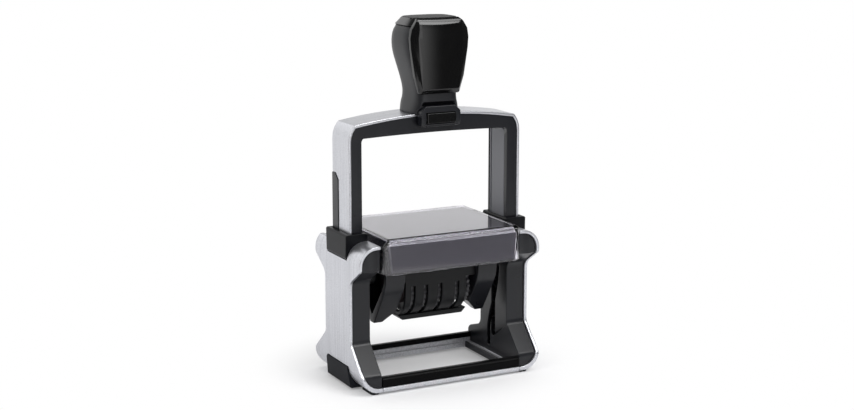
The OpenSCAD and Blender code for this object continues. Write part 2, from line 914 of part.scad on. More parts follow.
function grip_size(share) =
    let (
        spans = grip_span(share),
        i = spans[len(spans) - 1],
        t = (share - row(i)[0]) / (row(i + 1)[0] - row(i)[0])
    )
    spline(row(i - 1), row(i), row(i + 1), row(i + 2), t);
function signed_power(v, p) = sign(v) * pow(abs(v), p);
function section_point(size, k) =
    let (
        a = 360 * (k + 0.5) / grip_points,
        front = sin(a) < 0,
        depth = front ? size[2] * panel_y : size[3] * cap_y,
        round = front ? size[4] * front_square : size[4]
    )
    [size[1] * grip_x * signed_power(cos(a), round), depth * signed_power(sin(a), round)];
function grip_point(level, k) =
    let (share = level / grip_levels, p = section_point(grip_size(share), k))
    [p[0], p[1], grip_low + (grip_top - grip_low) * share];
module grip_form() {
    polyhedron(
        points = [for (level = [0 : grip_levels], k = [0 : grip_points - 1]) grip_point(level, k)],
        faces = concat(
            [[for (k = [0 : grip_points - 1]) k]],
            [
                for (level = [0 : grip_levels - 1], k = [0 : grip_points - 1], half = [0, 1])
                    let (
                        n = (k + 1) % grip_points,
                        a = level * grip_points + k,
                        b = level * grip_points + n,
                        c = (level + 1) * grip_points + n,
                        d = (level + 1) * grip_points + k
                    )
                    half == 0 ? [a, d, c] : [a, c, b]
            ],
            [[for (k = [grip_points - 1 : -1 : 0]) grip_levels * grip_points + k]]
        )
    );
}

// Glossy core: a bevelled front panel that runs on into a bevelled cap over the top
core_rise = 8.6;
core_low_z = bow_crown + core_rise;
core_wide_z = knob_top - 8.7;
core_bevel = 1.9;
core_seat = 2;
core_low_x = 9.7;
roll_d = 4.4;
roll_h = 4.8;
roll_steps = 4;
sheet = 0.05;
module core_slab(y, half) {
    along_y(y, y + sheet)
        polygon(outline(both_sides(half)));
}
module core_section(z, size) {
    translate([0, 0, z])
        linear_extrude(sheet)
        polygon([for (k = [0 : grip_points - 1]) section_point(size, k)]);
}
module core_panel() {
    face_x = grip_x - 5;
    edge = [
        [core_low_x, core_low_z, 1],
        [core_low_x + 2.4, core_low_z + 8, 0],
        [grip_x - 1.2, core_wide_z - 4.4, 0],
        [grip_x - 0.9, core_wide_z, 0],
        [grip_x - 1.5, knob_top - 4.8, 0],
        [grip_x - 3.8, knob_top - 1.2, 1],
    ];
    hull() {
        core_slab(-panel_y, [
            [core_low_x - 0.6, core_low_z + 2, 0.8],
            [core_low_x + 0.7, core_low_z + 14, 0],
            [grip_x - 4.1, core_wide_z, 0],
            [face_x, knob_top - roll_h, 0],
        ]);
        core_slab(core_bevel - panel_y, edge);
        core_slab(core_bevel + core_seat - panel_y, edge);
        for (i = [1 : roll_steps])
            let (a = 90 * i / roll_steps, top = knob_top - roll_h * (1 - sin(a)))
            core_slab(roll_d * (1 - cos(a)) - panel_y, [[face_x, top - sheet, 0], [face_x, top, 0]]);
    }
}
module core_cap() {
    hull() {
        core_section(cap_low_z, [0, 0.93, 0.85, 0.95, 0.7]);
        core_section(knob_top - 0.7, [0, 0.78, 0.74, 0.73, 0.7]);
        core_section(knob_top - sheet, [0, 0.72, 0.68, 0.66, 0.7]);
    }
}
module grip_core() {
    color("#121214")
    union() {
        core_panel();
        core_cap();
    }
}
slot_low = saddle_top - 0.2;
slot_h = 1.8;
slot_depth = 4;
module grip_body() {
    color("#434548")
    difference() {
        grip_form();
        grip_core();
        saddle_form(fit / 2);
        along_y(-leg_y - fit, leg_y + fit)
            bow_outer(-fit);
        along_y(-panel_y - past, slot_depth - panel_y)
            polygon(outline([
                [1.4 - saddle_x, slot_low, 0], [saddle_x - 1.4, slot_low, 0],
                [saddle_x - 2.2, slot_low + slot_h, 0.6], [2.2 - saddle_x, slot_low + slot_h, 0.6],
            ]));
    }
}

// Print unit: the carrier's platform holds the text plate, its end plates ride on the pivot pins
platform_t = 2.5;
sheet_z = face_z - relief_t - sheet_t;
platform_z = sheet_z - platform_t;
tail_w = 9.1;
date_x = (tens_pitch + units_pitch + month_pitch + year_pitch + tail_w) / 2;
window_die_x = date_x + 0.6;
window_die_y = 5;
module die_carrier() {
    ear_round = 6;
    end_top = platform_z + 1.4;
    color("#2c2c2e")
    difference() {
        union() {
            box([-platform_x, -die_y, platform_z], [platform_x, die_y, sheet_z]);
            for (s = [0, 1])
                mirror([s, 0, 0])
                    along_x(end_x - end_plate_t, end_x)
                    polygon(outline(both_sides([
                        [8.5, pivot_z - 6.4, ear_round - 1],
                        [8.5, end_top, 0],
                    ])));
        }
        box([-window_die_x, -window_die_y, platform_z - past], [window_die_x, window_die_y, sheet_z + past]);
        for (s = [0, 1])
            mirror([s, 0, 0]) {
                translate([0, 0, pivot_z])
                    x_pin(end_x - end_plate_t - past, end_x + past, pivot_r + pin_fit);
                translate([0, -flip_arm, pivot_z])
                    x_pin(end_x - end_plate_t - past, end_x + past, flip_r);
            }
    }
}
module flip_pin() {
    color("gainsboro")
    translate([0, -flip_arm, pivot_z])
        x_pin(end_x - end_plate_t, opening_x + track_t - fit, flip_r);
}
module flip_pin_left() { left() flip_pin(); }
module flip_pin_right() { flip_pin(); }

module text_plate() {
    relief_y = die_y - relief_margin;
    relief_x = die_x - relief_margin;
    color("#b5483c")
    difference() {
        union() {
            box([-die_x, -die_y, sheet_z], [die_x, die_y, sheet_z + sheet_t]);
            box([-relief_x, -relief_y, sheet_z + sheet_t], [relief_x, relief_y, face_z]);
        }
        box([-window_die_x, -window_die_y, sheet_z - past], [window_die_x, window_die_y, face_z + past]);
    }
}

// Wedge-shaped cheeks beside the date unit, open towards the end plates
axle_z = pivot_z - axle_drop;
housing_x = date_x;
cheek_x = housing_x + fit;
cheek_w = end_x - end_plate_t - cheek_gap - cheek_x;
cheek_tip = 2;
cheek_r = 18;
cheek_wall = 1.6;
cheek_inner_r = cheek_r - 2.5 * cheek_wall;
module cheek() {
    cheek_y = cheek_d / 2;
    cheek_knee = 6;
    bevel = min(5.5, cheek_w - cheek_wall);
    wall = cheek_wall;
    tip_z = pivot_z - cheek_drop;
    color("#343437")
    difference() {
        intersection() {
            along_x(cheek_x, cheek_x + cheek_w)
                polygon(outline(both_sides([
                    [cheek_tip, tip_z, 1],
                    [cheek_y, pivot_z - cheek_knee, cheek_r],
                    [cheek_y, platform_z, 0],
                ])));
            along_y(-cheek_y, cheek_y)
                polygon([
                    [cheek_x, tip_z + bevel], [cheek_x + bevel, tip_z], [cheek_x + cheek_w, tip_z],
                    [cheek_x + cheek_w, platform_z], [cheek_x, platform_z],
                ]);
        }
        along_x(cheek_x + wall, cheek_x + cheek_w + past)
            polygon(outline(both_sides([
                [0.3, tip_z + 2.6 * wall, 0],
                [cheek_y - wall, pivot_z - cheek_knee + wall, cheek_inner_r],
                [cheek_y - wall, platform_z - wall, 0],
            ])));
        translate([0, 0, axle_z])
            x_pin(cheek_x - past, cheek_x + wall + past, axle_r);
    }
}
module cheek_left() { left() cheek(); }
module cheek_right() { cheek(); }

// Housing over the date bands: curved slats with a slot for each thumb disc
slat_top = 3.4;
rim_y = 5;
rim_h = 2.3;
housing_low = axle_z - housing_r;
disc_xs = [
    tens_pitch - date_x,
    tens_pitch + units_pitch - date_x,
    tens_pitch + units_pitch + month_pitch - date_x,
    date_x - tail_w,
];
function disc_x(i) = disc_xs[i];
end_notch = 1.4;
tail_notch = 4.6;
module housing_form(inset) {
    half = housing_r - inset;
    along_x(-housing_x - past * sign(inset), housing_x + past * sign(inset))
        intersection() {
            union() {
                translate([0, axle_z])
                    circle(half, $fn = 64);
                translate([-half, axle_z])
                    square([2 * half, platform_z - axle_z]);
            }
            translate([-half, 0])
                square([2 * half, platform_z]);
        }
}
module band_housing() {
    rim_bevel = 3.2;
    color("#3a3a3d")
    difference() {
        union() {
            difference() {
                housing_form(0);
                housing_form(housing_t);
                for (i = [0 : 3])
                    box([disc_x(i) - slot_w / 2, -housing_r - past, housing_low - past],
                        [disc_x(i) + slot_w / 2, housing_r + past, axle_z + slat_top]);
                box([-housing_x - past, -housing_r - past, housing_low - past],
                    [end_notch - housing_x, housing_r + past, axle_z + slat_top + 2]);
                box([housing_x - tail_notch, -housing_r - past, housing_low - past],
                    [housing_x + past, housing_r + past, axle_z + slat_top + 2]);
            }
            intersection() {
                along_y(-rim_y, rim_y)
                    polygon([
                        [-housing_x + rim_bevel, housing_low - 1.6], [housing_x - rim_bevel, housing_low - 1.6],
                        [housing_x, housing_low - 1.6 + rim_bevel], [-housing_x, housing_low - 1.6 + rim_bevel],
                    ]);
                box([-housing_x, -rim_y, housing_low - 1.6], [housing_x, rim_y, housing_low - 1.6 + rim_h]);
            }
        }
    }
}
module wheel_axle() {
    color("gainsboro")
    translate([0, 0, axle_z])
        x_pin(-cheek_x - cheek_wall, cheek_x + cheek_wall, axle_r);
}

// Nose that the bands turn over, at the print face
nose_y = 2.2;
nose_drop = 4;
nose_top = face_z - band_t - 0.1;
module band_nose() {
    color("#2c2c2e")
    along_x(-cheek_x, cheek_x)
        polygon(outline(both_sides([
            [nose_y, platform_z - nose_drop, 0.4],
            [nose_y, nose_top, 1.2],
        ])));
}

// A date band: a closed loop round its drum and over the nose
band_gap = 0.3;
band_steps = 12;
function band_half(out) =
    let (
        r = drum_r + band_gap + out,
        tip = [nose_y + 0.1 + out, nose_top + 0.05 + out],
        reach = norm(tip - [0, axle_z]),
        last = atan2(tip[1] - axle_z, tip[0]) - acos(r / reach),
        first = -90 + (last + 90) / (2 * band_steps)
    )
    concat(
        [for (i = [0 : band_steps]) let (a = first + (last - first) * i / band_steps) [r * cos(a), axle_z + r * sin(a), 0]],
        [[tip[0], tip[1], 1.2 + out]]
    );
function band_loop(out) = outline(both_sides(band_half(out)));
function band_low_x(i) = i == 0 ? 0.8 - date_x : disc_x(i - 1) + disc_t / 2 + band_side;
function band_high_x(i) = disc_x(i) - disc_t / 2 - band_side;
module date_band(i) {
    color("#3c3c40")
    difference() {
        along_x(band_low_x(i), band_high_x(i))
            polygon(band_loop(band_t));
        along_x(band_low_x(i) - past, band_high_x(i) + past)
            polygon(band_loop(0));
    }
}
module date_band_1() { date_band(0); }
module date_band_2() { date_band(1); }
module date_band_3() { date_band(2); }
module date_band_4() { date_band(3); }

// A setting wheel: a toothed thumb disc with a drum for its band
teeth = 24;
tooth_h = 0.7;
module toothed(from, to, radius) {
    along_x(from, to)
        polygon([
            for (k = [0 : 2 * teeth - 1])
                let (a = 180 * k / teeth, r = k % 2 == 0 ? radius : radius - tooth_h)
                [r * cos(a), axle_z + r * sin(a)]
        ]);
}
module setting_wheel(i) {
    color("#4a4a4e")
    difference() {
        union() {
            toothed(disc_x(i) - disc_t / 2, disc_x(i) + disc_t / 2, disc_r);
            translate([0, 0, axle_z])
                x_pin(band_low_x(i), disc_x(i), drum_r);
        }
        translate([0, 0, axle_z])
            x_pin(-housing_x, housing_x, axle_r + pin_fit);
    }
}
// Fixed spacer beside the last wheel, with a toothed rim like a wheel's
spacer_r = 3;
module axle_spacer() {
    from = disc_x(3) + disc_t / 2 + band_side;
    color("#343437")
    difference() {
        union() {
            translate([0, 0, axle_z])
                x_pin(from, housing_x, spacer_r);
            toothed(housing_x - tail_notch / 2 - disc_t / 2, housing_x - tail_notch / 2 + disc_t / 2, disc_r - 1);
        }
        translate([0, 0, axle_z])
            x_pin(from - past, housing_x + past, axle_r);
    }
}
module setting_wheel_1() { setting_wheel(0); }
module setting_wheel_2() { setting_wheel(1); }
module setting_wheel_3() { setting_wheel(2); }
module setting_wheel_4() { setting_wheel(3); }

side_cover_left();
side_cover_right();
side_frame_left();
side_frame_right();
cross_bar_front();
cross_bar_rear();
base_plate();
guide_rail_left();
guide_rail_right();
side_foot_left();
side_foot_right();
rubber_pads();
guide_collar_left();
guide_collar_right();
return_spring_left();
return_spring_right();
window_cover();
cover_insert();
cartridge_tray();
ink_pad();
bow_cover();
bow_frame();
bow_rail_left();
bow_rail_right();
grip_saddle();
grip_body();
grip_core();
pivot_pin_left();
pivot_pin_right();
lock_button();
die_carrier();
cheek_left();
cheek_right();
text_plate();
band_housing();
flip_pin_left();
flip_pin_right();
wheel_axle();
axle_spacer();
band_nose();
date_band_1();
date_band_2();
date_band_3();
date_band_4();
setting_wheel_1();
setting_wheel_2();
setting_wheel_3();
setting_wheel_4();
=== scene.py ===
# %% [markdown]
# # A self-inking date stamp
# The stamp has a silver and black base that stands on the paper, a bow that the hand presses, and a
# print unit that turns over inside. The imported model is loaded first, as a fixed frame. Every piece
# made below sits in that frame, in metres, so nothing has to be fitted by eye.

# %% Load the frame
import bpy
import json
import math
from mathutils import Matrix, Vector
from mathutils.bvhtree import BVHTree


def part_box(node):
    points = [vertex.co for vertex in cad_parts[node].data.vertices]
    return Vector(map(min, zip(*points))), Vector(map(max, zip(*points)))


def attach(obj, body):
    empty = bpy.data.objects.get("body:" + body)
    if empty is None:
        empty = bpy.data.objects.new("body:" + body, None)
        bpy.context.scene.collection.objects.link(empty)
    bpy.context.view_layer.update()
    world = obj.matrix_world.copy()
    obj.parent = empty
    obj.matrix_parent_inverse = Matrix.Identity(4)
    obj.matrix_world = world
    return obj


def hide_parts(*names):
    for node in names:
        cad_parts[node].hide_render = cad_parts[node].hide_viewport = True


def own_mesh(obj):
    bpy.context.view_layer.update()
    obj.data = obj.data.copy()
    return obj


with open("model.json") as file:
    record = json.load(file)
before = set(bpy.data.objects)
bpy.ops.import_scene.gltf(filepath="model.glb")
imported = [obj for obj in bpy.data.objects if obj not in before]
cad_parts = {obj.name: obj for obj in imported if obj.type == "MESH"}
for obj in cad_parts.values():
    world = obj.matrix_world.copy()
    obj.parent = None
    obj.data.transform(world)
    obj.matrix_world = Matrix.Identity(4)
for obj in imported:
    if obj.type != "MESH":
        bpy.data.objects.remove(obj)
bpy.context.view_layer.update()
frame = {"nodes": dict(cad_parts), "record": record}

# %% [markdown]
# ## Small helpers
# Sizes are written in millimetres, because a maker thinks in millimetres, and turned to metres in one
# place. Colours are written as sRGB hex values, as they are read from a swatch, and turned to the
# linear values that a shader wants. One function adds a shader node, with its settings and its links.

# %% Units, colours and shader nodes
MM = 0.001


def colour(hex_value):
    parts = [int(hex_value[i:i + 2], 16) / 255 for i in (1, 3, 5)]
    linear = [p / 12.92 if p <= 0.04045 else ((p + 0.055) / 1.055) ** 2.4 for p in parts]
    return (*linear, 1.0)


def add_node(tree, kind, values=None, links=None, **settings):
    node = tree.nodes.new(kind)
    for name, value in settings.items():
        setattr(node, name, value)
    for name, value in (values or {}).items():
        node.inputs[name].default_value = value
    for name, socket in (links or {}).items():
        tree.links.new(socket, node.inputs[name])
    return node


def new_material(name):
    material = bpy.data.materials.new(name)
    material.use_nodes = True
    tree = material.node_tree
    tree.nodes.clear()
    output = add_node(tree, "ShaderNodeOutputMaterial")
    place = add_node(tree, "ShaderNodeTexCoord").outputs["Object"]
    return material, tree, output, place


print("helpers ready; mid grey is", [round(c, 3) for c in colour("#808080")[:3]])

# %% [markdown]
# ## Silver lacquer on the covers
# The side covers, the bow and the base plate are pressed aluminium. The sheet is brushed along its
# length and then sprayed with satin silver lacquer, so it has a fine sparkle and, under it, faint lines.
# On every cover the brush ran in the plane of X and Z, so one noise that changes fast along Y only draws
# the lines on all of them. A second noise at flake size breaks the lines up. Real flakes are about
# 0.05 mm and brush lines 0.1 mm, too fine to show here, so both are drawn a few times coarser.

# %% Silver lacquer
line_mm, line_run_mm, line_deep_mm, flake_mm = 0.6, 40, 0.02, 0.5


def lacquered(name, metallic, flake_share):
    material, tree, output, place = new_material(name)
    across, run = 1 / (line_mm * MM), 1 / (line_run_mm * MM)
    along = add_node(tree, "ShaderNodeMapping", {"Scale": (run, across, run)}, {"Vector": place})
    lines = add_node(tree, "ShaderNodeTexNoise", {"Scale": 1.0, "Detail": 3.0, "Roughness": 0.6},
                     {"Vector": along.outputs["Vector"]})
    flakes = add_node(tree, "ShaderNodeTexNoise",
                      {"Scale": 1 / (flake_mm * MM), "Detail": 2.0, "Roughness": 0.7}, {"Vector": place})
    both = add_node(tree, "ShaderNodeMix", {"Factor": flake_share},
                    {"A": lines.outputs["Fac"], "B": flakes.outputs["Fac"]}, data_type="FLOAT")
    tone = add_node(tree, "ShaderNodeMapRange", {"From Min": 0.3, "From Max": 0.7},
                    {"Value": both.outputs["Result"]})
    shade = add_node(tree, "ShaderNodeMix", {"A": colour("#b0b1b6"), "B": colour("#e3e4e9")},
                     {"Factor": tone.outputs["Result"]}, data_type="RGBA")
    gloss = add_node(tree, "ShaderNodeMapRange", {"To Min": 0.38, "To Max": 0.26},
                     {"Value": tone.outputs["Result"]})
    grain = add_node(tree, "ShaderNodeBump", {"Strength": 0.15, "Distance": line_deep_mm * MM},
                     {"Height": both.outputs["Result"]})
    shader = add_node(tree, "ShaderNodeBsdfPrincipled", {"Metallic": metallic},
                      {"Base Color": shade.outputs["Result"], "Roughness": gloss.outputs["Result"],
                       "Normal": grain.outputs["Normal"]})
    tree.links.new(shader.outputs["BSDF"], output.inputs["Surface"])
    return material


# brushed aluminium under a thin, clear-looking silver lacquer
silver = lacquered("brushed_aluminium_silver_lacquer", metallic=0.92, flake_share=0.6)
# the base plate under a thicker coat of the same lacquer, which scatters more and mirrors less
plate_silver = lacquered("base_plate_silver_lacquer", metallic=0.3, flake_share=0.9)
print("made", silver.name, plate_silver.name)

# %% [markdown]
# ## Moulded plastics and rubbers
# The frames, the collars and the date unit are moulded in black ABS. The mould is spark-eroded, which
# leaves a fine, even grain, so the plastic is black with a soft grey sheen. The wheels are moulded in
# a slightly paler, smoother acetal, and the grip and the feet in rubber. They all come from one recipe,
# each with its own colours, grain size, roughness, grain strength and sheen. A real mould's grain is
# about 0.05 mm, too fine to show here, so it is drawn several times coarser. A slow second noise stands
# for uneven wear.

# %% Moulding recipe
wear_mm, pit_mm = 18, 0.03


def moulded(name, dark, pale, grain_mm, rough, lift, shine=0.5):
    material, tree, output, place = new_material(name)
    grain = add_node(tree, "ShaderNodeTexNoise",
                     {"Scale": 1 / (grain_mm * MM), "Detail": 2.0, "Roughness": 0.6}, {"Vector": place})
    wear = add_node(tree, "ShaderNodeTexNoise", {"Scale": 1 / (wear_mm * MM), "Detail": 4.0},
                    {"Vector": place})
    tone = add_node(tree, "ShaderNodeMix", {"A": colour(dark), "B": colour(pale)},
                    {"Factor": wear.outputs["Fac"]}, data_type="RGBA")
    gloss = add_node(tree, "ShaderNodeMapRange", {"To Min": rough[0], "To Max": rough[1]},
                     {"Value": wear.outputs["Fac"]})
    bump = add_node(tree, "ShaderNodeBump", {"Strength": lift, "Distance": pit_mm * MM},
                    {"Height": grain.outputs["Fac"]})
    shader = add_node(tree, "ShaderNodeBsdfPrincipled", {"IOR": 1.53, "Specular IOR Level": shine},
                      {"Base Color": tone.outputs["Result"], "Roughness": gloss.outputs["Result"],
                       "Normal": bump.outputs["Normal"]})
    tree.links.new(shader.outputs["BSDF"], output.inputs["Surface"])
    print("made", name)
    return material


print("moulding recipe: worn in patches of", wear_mm, "mm")

# %% Plastics
# ABS from a spark-eroded mould: deep black with a soft, even sheen
black_abs = moulded("black_abs_grained", "#131418", "#1a1b20",
                    grain_mm=0.35, rough=(0.24, 0.34), lift=0.2, shine=0.32)
# the same ABS from a polished mould, on the collars that a thumb rests on: smoother and darker
satin_abs = moulded("black_abs_polished", "#0c0d10", "#121316",
                    grain_mm=0.8, rough=(0.26, 0.34), lift=0.1, shine=0.1)
# ABS with more carbon black, in the date unit and the cartridge: a deeper black with less sheen
deep_abs = moulded("black_abs_deep", "#0b0c0e", "#111214",
                   grain_mm=0.35, rough=(0.32, 0.42), lift=0.25, shine=0.2)
# ABS of the cross bars, drawn darker than any other plastic here: that extra darkness is painted shade,
# for the deep shade on their faces; it has hardly any sheen
bars_painted_shade_abs = moulded("black_abs_bars_painted_shade", "#040405", "#070708",
                  grain_mm=0.8, rough=(0.24, 0.32), lift=0.1, shine=0.06)
# acetal: a little paler and smoother, because wheels have to slide
wheel_acetal = moulded("dark_acetal", "#303033", "#39393c", grain_mm=0.5, rough=(0.32, 0.40), lift=0.1)
# grey inlay in the bow's legs, for the fingers: a soft satin plastic, whose pale grey is partly painted
# light, for the light from the left on the legs
inlay_grey_painted_light = moulded("grey_satin_inlay_painted_light", "#73747a", "#7d7e84", grain_mm=0.4, rough=(0.35, 0.45), lift=0.2)
# the knob's acrylic where the palm presses: rubbed dull, so it mirrors next to nothing
worn_acrylic = moulded("palm_worn_acrylic_black", "#050506", "#090909",
                       grain_mm=0.5, rough=(0.32, 0.38), lift=0.05, shine=0.02)
# satin card-like plastic under the clear cover: dark grey and even
insert_plastic = moulded("insert_plastic", "#3a3840", "#413f47", grain_mm=0.6, rough=(0.35, 0.45), lift=0.1)

# %% Rubbers
# soft-touch rubber over the knob: matte, dry, grey where light rakes it
soft_touch = moulded("soft_touch_rubber", "#16171a", "#1e1f23",
                     grain_mm=0.3, rough=(0.34, 0.44), lift=0.25, shine=0.32)
# solid rubber of the feet and pads: matte and slightly dusty
foot_rubber = moulded("foot_rubber", "#131418", "#1b1c21",
                      grain_mm=0.5, rough=(0.55, 0.68), lift=0.35, shine=0.15)
# vulcanised print rubber: brown-black, dull, stained by ink
print_rubber = moulded("print_rubber", "#2c2526", "#3b3132", grain_mm=0.4, rough=(0.5, 0.65), lift=0.3)

# %% [markdown]
# ## Gloss black, clear cover, felt and steel
# The knob's panel is polished black acrylic: almost no colour of its own, so it is all reflection. The
# window cover is clear polycarbonate with a trace of grey. Its top looks pale in the photograph only
# because a clear sheet mirrors the bright room at a low angle, so it needs a true refractive shader
# and no paint. The ink pad is felt, and the pins are ground steel with fine lines round them.

# %% Gloss black
# polished cast acrylic: it has next to no colour, so what shows is what it mirrors, under a faint haze
haze_mm = 6
gloss_black, tree, output, place = new_material("polished_acrylic_black")
haze = add_node(tree, "ShaderNodeTexNoise", {"Scale": 1 / (haze_mm * MM), "Detail": 3.0}, {"Vector": place})
gloss = add_node(tree, "ShaderNodeMapRange", {"To Min": 0.10, "To Max": 0.16},
                 {"Value": haze.outputs["Fac"]})
tone = add_node(tree, "ShaderNodeMix", {"A": colour("#050506"), "B": colour("#090909")},
                {"Factor": haze.outputs["Fac"]}, data_type="RGBA")
shader = add_node(tree, "ShaderNodeBsdfPrincipled", {"IOR": 1.49},
                  {"Base Color": tone.outputs["Result"], "Roughness": gloss.outputs["Result"]})
tree.links.new(shader.outputs["BSDF"], output.inputs["Surface"])
print("made", gloss_black.name)

# %% Clear polycarbonate
# moulded in a polished tool: it bends light at its edges, and its gloss varies where it was wiped
wipe_mm = 12
clear_cover, tree, output, place = new_material("clear_polycarbonate")
wiped = add_node(tree, "ShaderNodeTexNoise", {"Scale": 1 / (wipe_mm * MM), "Detail": 2.0}, {"Vector": place})
gloss = add_node(tree, "ShaderNodeMapRange", {"To Min": 0.04, "To Max": 0.08},
                 {"Value": wiped.outputs["Fac"]})
shader = add_node(tree, "ShaderNodeBsdfPrincipled",
                  {"Base Color": colour("#e4e2ea"), "IOR": 1.58, "Transmission Weight": 1.0},
                  {"Roughness": gloss.outputs["Result"]})
tree.links.new(shader.outputs["BSDF"], output.inputs["Surface"])
print("made", clear_cover.name)

# %% Ink felt
# pressed felt soaked with blue-black ink: dull and fuzzy. A fibre is about 0.03 mm thick and would not
# show, so the tufts are drawn at 0.5 mm
tuft_mm, nap_mm = 0.5, 0.1
ink_felt, tree, output, place = new_material("ink_felt")
fibre = add_node(tree, "ShaderNodeTexNoise",
                 {"Scale": 1 / (tuft_mm * MM), "Detail": 6.0, "Roughness": 0.75}, {"Vector": place})
tone = add_node(tree, "ShaderNodeMix", {"A": colour("#10152b"), "B": colour("#2b3564")},
                {"Factor": fibre.outputs["Fac"]}, data_type="RGBA")
nap = add_node(tree, "ShaderNodeBump", {"Strength": 0.6, "Distance": nap_mm * MM},
               {"Height": fibre.outputs["Fac"]})
shader = add_node(tree, "ShaderNodeBsdfPrincipled", {"Roughness": 0.9, "Sheen Weight": 0.3},
                  {"Base Color": tone.outputs["Result"], "Normal": nap.outputs["Normal"]})
tree.links.new(shader.outputs["BSDF"], output.inputs["Surface"])
print("made", ink_felt.name)

# %% Ground and blackened steel
ring_mm, ring_run_mm, rough_spread = 0.3, 50 / 3, 0.06


def steel(name, dark, pale, rough):
    material, tree, output, place = new_material(name)
    across, run = 1 / (ring_mm * MM), 1 / (ring_run_mm * MM)
    rings = add_node(tree, "ShaderNodeMapping", {"Scale": (across, run, run)}, {"Vector": place})
    lines = add_node(tree, "ShaderNodeTexNoise", {"Scale": 1.0, "Detail": 2.0},
                     {"Vector": rings.outputs["Vector"]})
    tone = add_node(tree, "ShaderNodeMix", {"A": colour(dark), "B": colour(pale)},
                    {"Factor": lines.outputs["Fac"]}, data_type="RGBA")
    gloss = add_node(tree, "ShaderNodeMapRange",
                     {"To Min": rough - rough_spread, "To Max": rough + rough_spread},
                     {"Value": lines.outputs["Fac"]})
    shader = add_node(tree, "ShaderNodeBsdfPrincipled", {"Metallic": 1.0},
                      {"Base Color": tone.outputs["Result"], "Roughness": gloss.outputs["Result"]})
    tree.links.new(shader.outputs["BSDF"], output.inputs["Surface"])
    return material


# ground steel pins: bright, with fine lines round them, drawn coarser than the real 0.02 mm to show
pin_steel = steel("ground_steel", "#9a9a9c", "#c0c0c2", 0.28)
# spring wire with a black oxide skin: dark, with a dull gleam of metal
spring_steel = steel("black_oxide_wire", "#2c2d30", "#4a4b4f", 0.35)
print("made", pin_steel.name, spring_steel.name)

# %% [markdown]
# ## Rounded copies of the moulded parts
# No moulded or pressed part has a knife edge: light catches a small radius along every corner, and that
# thin bright line is most of what makes a part look real. A copy of each node is merged, its flat faces
# are joined, its sharp edges are bevelled and its curves are shaded smooth. The copy then replaces the
# node, in the same place and at the same size, because a bevel only takes material away. A radius that
# is too large for a short edge throws a spike, so each copy is measured against its solid, and a point
# that lies outside it, or farther in than the radius allows, is set back on its surface. Points that
# then lie almost on each other are merged, so that no sliver is left.

# %% What a piece belongs to


def alone(piece):
    bpy.ops.object.select_all(action="DESELECT")
    piece.select_set(True)
    bpy.context.view_layer.objects.active = piece


def body_of_node(node):
    for body, members in frame["record"]["behaviour"]["bodies"].items():
        if node in members:
            return body


def slot_of_node(node):
    return next(s["material_slot"] for s in frame["record"]["subparts"] if s["node"] == node)


def finish_piece(piece, node, material):
    piece.data.materials.clear()
    piece.data.materials.append(material)
    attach(piece, body_of_node(node))
    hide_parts(node)


print("bow_frame rides on", body_of_node("bow_frame"), "and is", slot_of_node("bow_frame"))

# %% Merged copy of a node
close_mm = 0.002


def clear_slivers(piece, merge_mm=close_mm):
    alone(piece)
    bpy.ops.object.mode_set(mode="EDIT")
    bpy.ops.mesh.select_all(action="SELECT")
    bpy.ops.mesh.remove_doubles(threshold=merge_mm * MM)
    bpy.ops.object.mode_set(mode="OBJECT")


def plain_copy(node, join_flat=False, merge_mm=close_mm):
    source = frame["nodes"][node]
    piece = source.copy()
    piece.data = source.data.copy()
    piece.name = node + ".look"
    bpy.context.scene.collection.objects.link(piece)
    piece.parent = None
    piece.matrix_world = Matrix.Identity(4)
    piece.hide_render = False
    alone(piece)
    bpy.ops.object.mode_set(mode="EDIT")
    bpy.ops.mesh.select_all(action="SELECT")
    bpy.ops.mesh.remove_doubles(threshold=merge_mm * MM)
    if join_flat:
        bpy.ops.mesh.dissolve_limited(angle_limit=math.radians(0.5))
    else:
        bpy.ops.mesh.tris_convert_to_quads(face_threshold=math.radians(1),
                                           shape_threshold=math.radians(120))
    bpy.ops.object.mode_set(mode="OBJECT")
    return piece


print("points closer than", close_mm, "mm are merged")

# %% Shading and stray points
curve_deg, skin_mm = 38, 0.01


def even_shading(piece, smooth_angle, weight=100):
    alone(piece)
    bpy.ops.object.shade_smooth_by_angle(angle=math.radians(smooth_angle))
    even = piece.modifiers.new("even", "WEIGHTED_NORMAL")
    even.keep_sharp = True
    even.weight = weight
    bpy.ops.object.modifier_apply(modifier=even.name)


def settle(piece, node, radius):
    solid = frame["nodes"][node].data
    skin = BVHTree.FromPolygons([v.co for v in solid.vertices], [p.vertices for p in solid.polygons])
    low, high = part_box(node)
    slack = skin_mm * MM
    moved = 0
    for vertex in piece.data.vertices:
        spot, outward, _, away = skin.find_nearest(vertex.co)
        proud = (vertex.co - spot).dot(outward) > slack
        boxed = all(low[i] <= vertex.co[i] <= high[i] for i in range(3))
        if away > radius or proud or (away > slack and not boxed):
            vertex.co = spot
            moved += 1
    return moved


print("a point may lie", skin_mm, "mm off its solid")

# %% Rounding recipe
sharp_deg = 32


def rounded_copy(node, material, radius_mm, steps=2, sharp=sharp_deg, join_flat=False, weight=100,
                 merge_mm=close_mm):
    piece = plain_copy(node, join_flat, merge_mm)
    bevel = piece.modifiers.new("edge", "BEVEL")
    bevel.width = radius_mm * MM
    bevel.segments = steps
    bevel.limit_method = "ANGLE"
    bevel.angle_limit = math.radians(sharp)
    bevel.use_clamp_overlap = False
    bpy.ops.object.modifier_apply(modifier=bevel.name)
    moved = settle(piece, node, radius_mm * MM)
    clear_slivers(piece)
    even_shading(piece, curve_deg, weight)
    finish_piece(piece, node, material)
    print(piece.name, len(piece.data.polygons), "faces,", moved, "points set back")
    return piece


print("edges that turn by more than", sharp_deg, "degrees are rounded")

